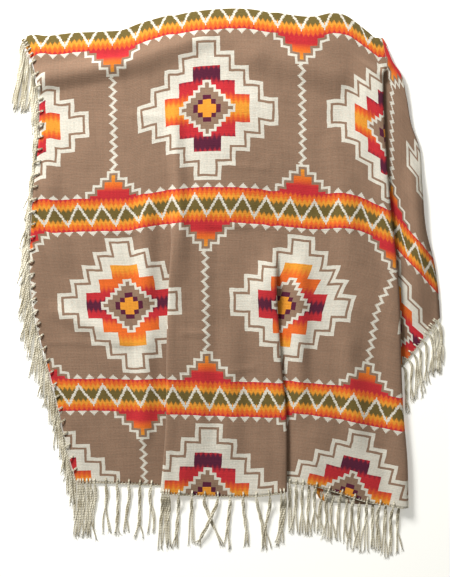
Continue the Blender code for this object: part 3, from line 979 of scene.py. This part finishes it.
@dataclass
class Fringe:
    """One fringe: loose strands of yarn sewn through a hem."""

    node: str
    hem: HemName
    bare: Pair  # stretches of the hem without strands, before the first and after the last
    pitch: float
    length: float
    play: float  # how far the strands stray from the way they hang
    seed: int
    hang: tuple[float, ...] = (0,)  # degrees to the left of straight down, evenly along the hem
    strand: Strand = Strand()
    leans: dict[int, Pair] = field(default_factory=dict)  # sideways and lift of the end
    extra: tuple[Triple, ...] = ()  # place, length and hang of bunched strands
    beneath: tuple[int, ...] = ()  # strands that hang from the layer folded under
    beneath_height: float = 0.5  # height at which those start
    piled: float = 0.0  # how much higher each of a few neighbours lies
    pile: int = 3  # how many neighbours
    slant: float = 0.0  # how far the stitches already turn to the way the strands hang
    header: float = 8.0  # how far from the hem a strand starts to turn
    header_lift: float = 1.0
    hem_gap: float = 0.5
    shortest: float = 0.86  # share of the full length
    hang_turn: float = 2.8  # it hangs its own way after 1 / 2.8 of its length
    drop_run: float = 0.3  # share of its length over which it comes down to the surface
    path_steps: int = 4
    stitch: float = 13.0  # how far inside the hem a strand comes out of the cloth
    stitch_out: float = 0.7  # share of that at which it lies on the face
    stitch_lift: float = 1.2
    past_rim: float = 0.5  # how far past the rim it stays as high
    overcast: Overcast | None = Overcast()

    def strand_path(
        self,
        hem: Hem,
        root: float,
        lean: float,
        length: float,
        bows: Pair = (0.0, 0.0),
        beneath: bool = False,
    ) -> np.ndarray:
        """Points along the middle of a strand, from its stitch to its loose end.

        Args:
            hem: the hem it hangs from.
            root: distance along the hem.
            lean: how far it hangs to the left of straight down, in degrees.
            length: how long it is below the hem.
            bows: how it strays sideways, from -1 to 1, all along and in the middle.
            beneath: whether it hangs from the layer folded under.

        Returns:
            The points, each with its height above what the strand lies on.
        """
        angle = math.radians(lean)
        middle, outward = hem.point(root), hem.outward(root)
        side = left_of(outward)
        hang = unit(np.array([-math.sin(angle), -math.cos(angle)]) + side * bows[0] * self.play)
        lead = unit(outward * (1 - self.slant) + hang * self.slant)
        low = self.beneath_height if beneath else middle[2]
        top = low if beneath else low + self.strand.high + self.stitch_lift
        centre = middle[:2] + outward * self.hem_gap + lead * self.header
        points = [
            (*(middle[:2] - lead * self.stitch), low),
            (*(middle[:2] - lead * self.stitch * self.stitch_out), top),
            (*(middle[:2] + lead * self.past_rim), top),
            (*centre, low + self.header_lift),
        ]
        for k in range(1, self.path_steps + 1):
            part = k / self.path_steps
            turn = min(1.0, self.hang_turn * part)
            bow = side * bows[1] * self.play * math.sin(math.pi * part)
            heading = unit(outward * (1 - turn) + hang * turn + bow)
            centre = centre + heading * length / self.path_steps
            points.append((*centre, low * (1 - float(smooth_step(part / self.drop_run)))))
        return np.array(points, dtype=float)

    def build(self, cloth: Cloth, yarn: bpy.types.Material) -> bpy.types.Object:
        """Build the whole fringe as one piece, and dress it.

        Args:
            cloth: the cloth that it hangs from.
            yarn: its material.

        Returns:
            The piece.
        """
        hem = cloth.hem_line(self.hem)
        first, last = self.bare[0], hem.at[-1] - self.bare[1]
        count = int((last - first) // self.pitch) + 1
        draw, looks = random.Random(self.seed), random.Random(self.seed + LOOKS_SEED)
        tubes, paths = TubeMesh(), []
        loose = slice(-self.path_steps - 1, None)
        part = np.linspace(0, 1, self.path_steps + 1)
        for n in range(count):
            root = first + self.pitch * n
            length = self.length * draw.uniform(self.shortest, 1.0)
            bows = (draw.uniform(-1, 1), draw.uniform(-1, 1))
            share = (root - first) / (last - first)
            lean = float(np.interp(share, np.linspace(0, 1, len(self.hang)), self.hang))
            path = self.strand_path(hem, root, lean, length, bows, n in self.beneath)
            sideways, lift = self.leans.get(n, (0.0, 0.0))
            path[loose, 0] += sideways * part
            path[loose, 2] += lift * np.sin(math.pi * part)
            path[2:, 2] += self.piled * (n % self.pile)
            paths.append(path)
        for n, (root, length, lean) in enumerate(self.extra):
            path = self.strand_path(hem, root, lean, length)
            path[2:, 2] += self.piled * (n % self.pile)
            paths.append(path)
        for path in paths:
            self.strand.add(tubes, path, looks)
        if self.overcast:
            self.overcast.sew(tubes, hem, self.bare, looks)
        LOG.info("%s: %d strands", self.node, len(paths))
        return tubes.build(self.node.replace("fringe", "yarn"), yarn)


FRINGES = (
    Fringe(
        "fringe_left", HemName.LEFT, bare=(14, 10), pitch=34.0, length=142.0, play=0.03, seed=11,
        hang=(4, 7, 11, 12, 10, 4, -2, -4, -4),
        strand=Strand(lay=150.0, opens=(0.35, 0.8), parting=(3.0, 7.0), limp=3.0),
        header=0.8, hang_turn=9.0, slant=0.3, stitch_lift=0.3, overcast=None, piled=2.2,
        extra=(
            (-46.0, 166.0, 8.0), (-38.0, 178.0, 9.0), (-30.0, 172.0, 10.0), (-20.0, 160.0, 8.0),
            (-6.0, 150.0, 7.0),
        ),
    ),
    Fringe(
        "fringe_hem_left", HemName.LEFT_PANEL, bare=(16, 34), pitch=31.0, length=138.0, play=0.055,
        seed=12, hang=(1, 0),
        extra=((3.0, 128.0, 3.0), (9.0, 142.0, 2.0), (27.0, 136.0, 1.0), (36.0, 144.0, -1.0)),
    ),
    Fringe(
        "fringe_hem_centre", HemName.CENTRE_PANEL, bare=(10, 8), pitch=35.0, length=140.0, play=0.06,
        seed=13,
        leans={3: (44.0, 0.0), 4: (-58.0, 8.0), 7: (20.0, 0.0), 8: (-20.0, 3.0)},
        extra=(
            (-3.0, 142.0, 2.0), (3.5, 134.0, -4.0), (17.0, 138.0, -1.0), (322.0, 128.0, 4.0),
            (334.0, 136.0, 6.0),
        ),
    ),
    Fringe(
        "fringe_hem_right", HemName.RIGHT_PANEL, bare=(64, 8), pitch=18.0, length=132.0, play=0.05,
        seed=14, beneath=(3, 5, 7, 9, 11, 13, 15, 17),
    ),
    Fringe(
        "fringe_wedge", HemName.WEDGE, bare=(400, 8), pitch=22.0, length=120.0, play=0.03, seed=15,
        strand=Strand(ply_radius=1.9, wide=2.2, limp=3.5), header=5.0,
        extra=((538.0, 118.0, -1.0), (549.0, 126.0, 1.0), (524.0, 112.0, 1.0)),
    ),
)


@dataclass(frozen=True)
class TradeWool:
    """Napped wool twill, woven in bands and stepped diamonds and brushed after weaving.

    The nap scatters the light, so the cloth is matt with a faint bloom at its edges, and
    each colour is broken up by the threads that show through it. Sizes are in millimetres.
    """

    name: str = "trade_wool_twill"
    ground: str = "#8d715c"
    ivory: str = "#d6d0c1"
    red: str = "#bd2a31"
    orange: str = "#dc6424"
    amber: str = "#e0932f"
    olive: str = "#6a5a2c"
    maroon: str = "#561a33"
    repeat: float = 520.0  # from one row of diamonds to the next
    across_start: float = 545.0  # where the first row's middle diamond lies
    cell: float = 3.25  # threads are drawn in cells of this size, coarser than the real ones
    outline: tuple[int, int] = (3, 5)  # cells from a diamond's rim to its dark line, and past it
    diamond_step: float = 39.0
    diamond_steps: int = 5
    core_step: float = 13.0
    core_steps: tuple[int, int, int] = (6, 3, 2)  # from its rim to its maroon and its amber
    core_rim: int = 2  # cells
    pyramid_step: float = 19.5
    pyramid_steps: int = 4
    pyramid_rims: tuple[int, int] = (2, 4)  # cells
    band_half: float = 48.0
    shade_reach: float = 140.0  # up and down from the middle of a diamond to its last shade
    tooth: Pair = (6.5, 1.3)  # width of one side of a tooth between two shades, and its slope
    triangle: tuple[float, int] = (16.25, 4)  # half the spacing of the triangles by the bands, and steps
    zigzag: Pair = (13.0, 6.0)  # the line in the gaps: height of a stroke, and where it starts
    zigzag_half: float = 4.0  # half its width
    bolt: Triple = (32.5, 16.25, 1.7)  # the band's zigzag: width of one stroke, its middle, its slope
    bolt_half: float = 6.5
    waver: Pair = (6.0, 0.028)  # how far the weaving strays from its chart, and how fast
    fibre: float = 0.55  # scale of the nap's fibres
    rib: float = 2.6  # twill ribs, drawn about twice as coarse as real ones
    weft: float = 4.4
    nap: float = 2.4  # height of the nap against the ribs
    relief: Pair = (0.55, 0.0004)  # strength, and depth in metres
    # Patches of lighter and darker fibre: size across and up in millimetres, and strength
    heather: tuple[tuple[Pair, float], ...] = (
        ((4.2, 4.2), 0.44), ((90.0, 5.0), 0.30), ((6.0, 120.0), 0.24), ((85.0, 85.0), 0.26),
    )
    tinge_scale: float = 0.16
    tinge: Triple = (0.14, -0.06, -0.14)  # how far they lean to red, green and blue

    def stepped(
        self, node: partial, places: tuple[Node, ...], step: float, count: int, inset: float
    ) -> Node:
        """Mask of a stepped diamond round the place where both distances are 0.

        Args:
            node: adds a node to the material's tree.
            places: distance from its middle, sideways and up or down.
            step: size of a step.
            count: steps from the middle to a tip.
            inset: how far its outline is moved in.

        Returns:
            Node whose value is 1 inside.
        """
        counted = []
        for distance in places:
            moved = node("Math ADD", distance, inset + self.cell / 4)
            steps = node("Math DIVIDE", moved, step)
            counted.append(node("Math FLOOR", steps))
        total = node("Math ADD", *counted)
        return node("Math LESS_THAN", total, count - 0.5)

    def shades(
        self, node: partial, distance: Node, reach: float, stops: tuple[tuple[float, str], ...]
    ) -> Node:
        """Colours that melt into each other with distance.

        Args:
            node: adds a node to the material's tree.
            distance: distance from the middle of the shaded stretch.
            reach: distance at which the last colour is reached.
            stops: share of the reach and colour, in order.

        Returns:
            Node with the colour.
        """
        ramp = node("ValToRGB", node("Math DIVIDE", distance, reach))
        elements = ramp.color_ramp.elements
        while len(elements) < len(stops):
            elements.new(0.5)
        for element, (place, colour) in zip(elements, stops):
            element.position = place
            element.color = linear_colour(colour)
        return ramp

    def woven(self, node: partial, exact: Node) -> Node:
        """Draw the design of the cloth.

        Args:
            node: adds a node to the material's tree.
            exact: place on the flat cloth, as x and y.

        Returns:
            Node with the colour of the threads.
        """
        half = self.repeat / 2
        from_start = node("Math SUBTRACT", exact.outputs[0], self.across_start)
        across = node("Math SNAP", from_start, self.cell)
        up = node("Math SNAP", exact.outputs[1], self.cell)
        ground, ivory, maroon, amber = (
            linear_colour(code) for code in (self.ground, self.ivory, self.maroon, self.amber)
        )

        # Rows of diamonds, each shifted by half a repeat from the one below
        up_half = node("Math ADD", up, half)
        level = node("Math FLOOR", node("Math DIVIDE", up_half, self.repeat))
        odd = node("Math PINGPONG", level, 1.0)
        shift = node("Math MULTIPLY", odd, half)
        beside = node("Math WRAP", node("Math ADD", across, shift), half, -half)
        from_row = node("Math WRAP", up, half, -half)
        side, rise = (node("Math ABSOLUTE", d) for d in (beside, from_row))

        # Teeth where one colour meets the next, as in shaded weaving
        teeth = node("Math PINGPONG", across, self.tooth[0])
        teeth = node("Math MULTIPLY", teeth, self.tooth[1])
        toothed = node("Math ADD", rise, teeth)
        bright = self.shades(node, toothed, self.shade_reach, (
            (0.0, self.amber), (0.12, self.amber), (0.20, self.orange), (0.34, self.red),
            (0.52, self.red), (0.62, self.maroon), (0.80, self.maroon), (0.86, self.red),
        ))
        deep = self.shades(node, toothed, self.shade_reach, (
            (0.0, self.maroon), (0.10, self.maroon), (0.17, self.red), (0.30, self.red),
            (0.42, self.orange), (0.62, self.orange), (0.78, self.amber), (0.95, self.amber),
        ))
        hot = node("Mix", odd, bright, deep, data_type="RGBA")
        wide, steps = self.diamond_step, self.diamond_steps
        small, (rim, dark, heart) = self.core_step, self.core_steps
        layers: list[Layer] = [
            (self.stepped(node, (side, rise), step, count, inset), paint)
            for step, count, inset, paint in (
                (wide, steps, 0.0, ivory),
                (wide, steps, self.outline[0] * self.cell, ground),
                (wide, steps, self.outline[1] * self.cell, ivory),
                (wide, steps, wide, hot),
                (small, rim, 0.0, ivory),
                (small, rim, self.core_rim * self.cell, ground),
                (small, dark, 0.0, maroon),
                (small, heart, 0.0, amber),
            )
        ]

        # Small stepped triangles along the edges of the bands
        from_band = node("Math WRAP", up_half, half, -half)
        band = node("Math ABSOLUTE", from_band)
        tooth = node("Math PINGPONG", across, self.triangle[0])
        past = node("Math SUBTRACT", band, self.band_half)
        outside = node("Math GREATER_THAN", past, 0.0)
        triangle = self.stepped(node, (tooth, past), self.cell, self.triangle[1], 0.0)
        layers.append((node("Math MULTIPLY", triangle, outside), ivory))

        # Pyramids that stand on the bands, between the diamonds
        gap = node("Math SUBTRACT", half, side)
        over = node("Math SUBTRACT", half - self.band_half, rise)
        tall = self.pyramid_step * self.pyramid_steps
        glow = self.shades(node, over, tall, (
            (0.0, self.red), (0.25, self.red), (0.45, self.orange), (0.8, self.amber),
        ))
        above = node("Math GREATER_THAN", over, 0.0)
        for cells, paint in zip((0, *self.pyramid_rims), (ivory, ground, glow)):
            shape = self.stepped(node, (gap, over), self.pyramid_step, self.pyramid_steps, cells * self.cell)
            layers.append((node("Math MULTIPLY", shape, above), paint))

        # Zigzag line up the middle of each gap
        height, swing = self.zigzag
        zigzag = node("Math SUBTRACT", node("Math PINGPONG", rise, height), swing)
        signed = node("Math WRAP", node("Math ADD", beside, half), half, -half)
        off = node("Math ABSOLUTE", node("Math SUBTRACT", signed, zigzag))
        line = node("Math LESS_THAN", off, self.zigzag_half)
        short = node("Math LESS_THAN", rise, half - self.band_half - tall + swing)
        layers.append((node("Math MULTIPLY", line, short), ivory))

        # Shaded band with a zigzag
        sunset = self.shades(node, node("Math SUBTRACT", band, teeth), self.band_half, (
            (0.0, self.olive), (0.20, self.olive), (0.30, self.amber), (0.44, self.amber),
            (0.58, self.orange), (0.72, self.orange), (0.84, self.red), (1.0, self.red),
        ))
        layers.append((node("Math LESS_THAN", band, self.band_half), sunset))
        width, middle, slope = self.bolt
        bolt = node("Math SUBTRACT", node("Math PINGPONG", across, width), middle)
        bolt = node("Math MULTIPLY", bolt, slope)
        off = node("Math ABSOLUTE", node("Math SUBTRACT", from_band, bolt))
        layers.append((node("Math LESS_THAN", off, self.bolt_half), ivory))

        colour = node("RGB")
        colour.outputs[0].default_value = ground
        for mask, paint in layers:
            colour = node("Mix", mask, colour, paint, data_type="RGBA")
        return colour

    def mottled(self, node: partial, flat: Node, colour: Node) -> Node:
        """Break the colour up, as a heather of lighter and darker fibres does.

        Args:
            node: adds a node to the material's tree.
            flat: place on the flat cloth.
            colour: colour of the threads.

        Returns:
            Node with the colour of the cloth.
        """
        mottle = 1.0
        for size, strength in self.heather:
            stretched = node("VectorMath MULTIPLY", flat, (1 / size[0], 1 / size[1], 0.0))
            patches = node("Math SUBTRACT", node("TexNoise", stretched, 1.0, 2.0, 0.5), 0.5)
            mottle = node("Math MULTIPLY_ADD", patches, strength, mottle)
        tinge = node("TexNoise", flat, self.tinge_scale, 2.0, 0.5)
        tinge = node("Math SUBTRACT", tinge, 0.5)
        tints = [node("Math MULTIPLY_ADD", tinge, much, mottle) for much in self.tinge]
        tint = node("CombineColor", *tints)
        return node("Mix", 1.0, colour, tint, data_type="RGBA", blend_type="MULTIPLY")

    def make(self) -> bpy.types.Material:
        """Build the material.

        Returns:
            The material, with its design, heather, twill and nap.
        """
        material = new_material(self.name, {
            "Roughness": 0.92, "Metallic": 0.0, "IOR": 1.5, "Specular IOR Level": 0.2,
            "Sheen Weight": 0.18, "Sheen Roughness": 0.5, "Sheen Tint": linear_colour("#fff6e8"),
        })
        tree = material.node_tree
        node = partial(add_node, tree)
        far, fast = self.waver
        flat = node("VectorMath MULTIPLY", node("UVMap", uv_map=CUT_MAP), (1 / MM, 1 / MM, 0.0))
        strays = node("TexNoise", flat, fast, 2.0, 0.5).outputs["Color"]
        exact = node("SeparateXYZ", node("VectorMath MULTIPLY_ADD", strays, (far, far, 0.0), flat))
        colour = self.mottled(node, flat, self.woven(node, exact))

        # Twill ribs, weft and nap, as relief
        diagonal = node("Math ADD", exact.outputs[0], exact.outputs[1])
        ribs, weft = (
            node("Math SINE", node("Math MULTIPLY", way, 2 * math.pi / spacing))
            for way, spacing in ((diagonal, self.rib), (exact.outputs[1], self.weft))
        )
        nap = node("Math MULTIPLY", node("TexNoise", flat, self.fibre, 4.0, 0.65), self.nap)
        relief = node("Math MULTIPLY_ADD", node("Math ADD", ribs, weft), 0.5, nap)
        bump = node("Bump", *self.relief, None, relief)
        shader = tree.nodes["Principled BSDF"]
        tree.links.new(next(s for s in colour.outputs if s.enabled), shader.inputs["Base Color"])
        tree.links.new(bump.outputs[0], shader.inputs["Normal"])
        return material


@dataclass(frozen=True)
class FringeYarn:
    """Undyed two-fold wool yarn: its twist shows as slanting ridges, in relief and with painted shade
    between them, matt and a little hairy.
    """

    name: str = "undyed_wool_yarn"
    light: str = "#e3dcc7"
    dark: str = "#aa9f83"
    twist: float = 7.0  # millimetres along the yarn for one turn
    ridges: float = 2.0
    patch_scale: float = 26.0
    hair_scale: float = 900.0
    painted_valley_shade: float = 0.10  # painted shade: how much darker the colour is painted between the twist's ridges
    shade_ends: Pair = (0.30, 0.62)  # where it is as dark and as light as it gets
    relief: Pair = (0.7, 0.0005)  # strength, and depth in metres

    def make(self) -> bpy.types.Material:
        """Build the material.

        Returns:
            The material, with its twist in relief and as painted shade, patches and hairs.
        """
        material = new_material(self.name, {
            "Roughness": 0.88, "Metallic": 0.0, "IOR": 1.5, "Specular IOR Level": 0.2,
            "Sheen Weight": 0.15, "Sheen Roughness": 0.5,
        })
        tree = material.node_tree
        node = partial(add_node, tree)
        place = node("SeparateXYZ", node("UVMap", uv_map=YARN_MAP))
        round_it = node("Math MULTIPLY", place.outputs[0], self.ridges)
        along = node("Math MULTIPLY", place.outputs[1], 1 / MM / self.twist)
        turns = node("Math ADD", round_it, along)
        ridge = node("Math SINE", node("Math MULTIPLY", turns, 2 * math.pi))
        spot = node("TexCoord").outputs["Object"]
        patchy = node("TexNoise", spot, self.patch_scale, 3.0, 0.55)
        hairs = node("TexNoise", spot, self.hair_scale, 2.0, 0.6)
        # Painted shade: the colour darkens between the twist's ridges, on top of random patches of lighter
        # and darker fibre
        ramp = node("ValToRGB", node("Math MULTIPLY_ADD", ridge, self.painted_valley_shade, patchy))
        for element, at, code in zip(ramp.color_ramp.elements, self.shade_ends, (self.dark, self.light)):
            element.position = at
            element.color = linear_colour(code)
        relief = node("Math MULTIPLY_ADD", hairs, 0.5, ridge)
        bump = node("Bump", *self.relief, None, relief)
        shader = tree.nodes["Principled BSDF"]
        tree.links.new(ramp.outputs[0], shader.inputs["Base Color"])
        tree.links.new(bump.outputs[0], shader.inputs["Normal"])
        return material


@dataclass(frozen=True)
class PaleFloor:
    """Opal sheet of a light table: matt white, lit faintly from below so that it stays pale."""

    name: str = "opal_acrylic_sheet"
    colour: str = "#f9f8f2"
    glow: float = 0.30

    def make(self) -> bpy.types.Material:
        """Build the material.

        Returns:
            The material, pale and with a faint glow of its own.
        """
        colour = linear_colour(self.colour)
        return new_material(self.name, {
            "Base Color": colour, "Roughness": 0.9, "Emission Color": colour, "Emission Strength": self.glow,
        })


@dataclass
class Studio:
    """Floor, soft lights and the camera straight above the blanket. Sizes in metres."""

    floor_size: float = 9.0
    floor_gap: float = 0.0004
    view_height: float = 1.568  # what the picture's long side shows
    view_centre: Pair = (1.2, -3.0)  # millimetres from the middle of the face
    lens: float = 85.0  # millimetres
    sensor: float = 36.0
    world_colour: str = "#fdfcf6"
    world_strength: float = 0.28
    # Place, width and watts: the main light, and a faint one close above the turned top
    lights: tuple[tuple[Triple, float, float], ...] = (
        ((-2.1, 2.8, 2.3), 1.3, 256.0), ((-0.15, 1.25, 0.55), 0.7, 1.4),
    )
    aim: Triple = (-0.1, 0.2, 0.0)

    def build_floor(self) -> None:
        """Lay the floor just under the blanket."""
        size = self.floor_size / 2
        mesh = bpy.data.meshes.new("floor")
        corners = [(-size, -size), (size, -size), (size, size), (-size, size)]
        mesh.from_pydata([(x, y, -self.floor_gap) for x, y in corners], [], [(0, 1, 2, 3)])
        mesh.materials.append(PaleFloor().make())
        floor = bpy.data.objects.new("floor", mesh)
        bpy.context.scene.collection.objects.link(floor)

    def build_lights(self) -> None:
        """Light the room softly, and the blanket from the top left."""
        scene = bpy.context.scene
        world = bpy.data.worlds.new("soft_room")
        world.use_nodes = True
        backdrop = world.node_tree.nodes["Background"]
        backdrop.inputs["Color"].default_value = linear_colour(self.world_colour)
        backdrop.inputs["Strength"].default_value = self.world_strength
        scene.world = world
        scene.view_settings.view_transform = "Standard"
        for n, (place, width, watts) in enumerate(self.lights):
            light = bpy.data.lights.new(f"soft_light_{n}", "AREA")
            light.size = width
            light.energy = watts
            lamp = bpy.data.objects.new(light.name, light)
            lamp.location = place
            lamp.rotation_euler = (Vector(self.aim) - Vector(place)).to_track_quat("-Z", "Y").to_euler()
            lamp.visible_camera = False
            scene.collection.objects.link(lamp)

    def build_camera(self) -> None:
        """Hang the camera straight above the middle of the picture."""
        scene = bpy.context.scene
        camera = bpy.data.cameras.new("camera")
        camera.lens = self.lens
        camera.sensor_width = self.sensor
        seat = bpy.data.objects.new("camera", camera)
        seat.location = placed(np.array([*self.view_centre, 0.0]))
        seat.location.z = self.view_height * self.lens / self.sensor
        scene.collection.objects.link(seat)
        scene.camera = seat


def main() -> None:
    """Build the blanket round the frame, and the studio round the blanket."""
    logging.basicConfig(level=logging.INFO, format="%(name)s: %(message)s")
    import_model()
    studio = Studio()
    studio.build_floor()
    studio.build_lights()
    studio.build_camera()

    yarn = FringeYarn().make()
    cloth = Cloth(TradeWool())
    sheet = cloth.build()
    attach(sheet, ROOT_BODY)
    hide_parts("blanket_cloth")
    LOG.info("%s: %d faces", sheet.name, len(sheet.data.polygons))

    for fringe in FRINGES:
        piece = fringe.build(cloth, yarn)
        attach(piece, ROOT_BODY)
        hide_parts(fringe.node)
        LOG.info("%s: %d faces", piece.name, len(piece.data.polygons))


if __name__ == "__main__":
    main()
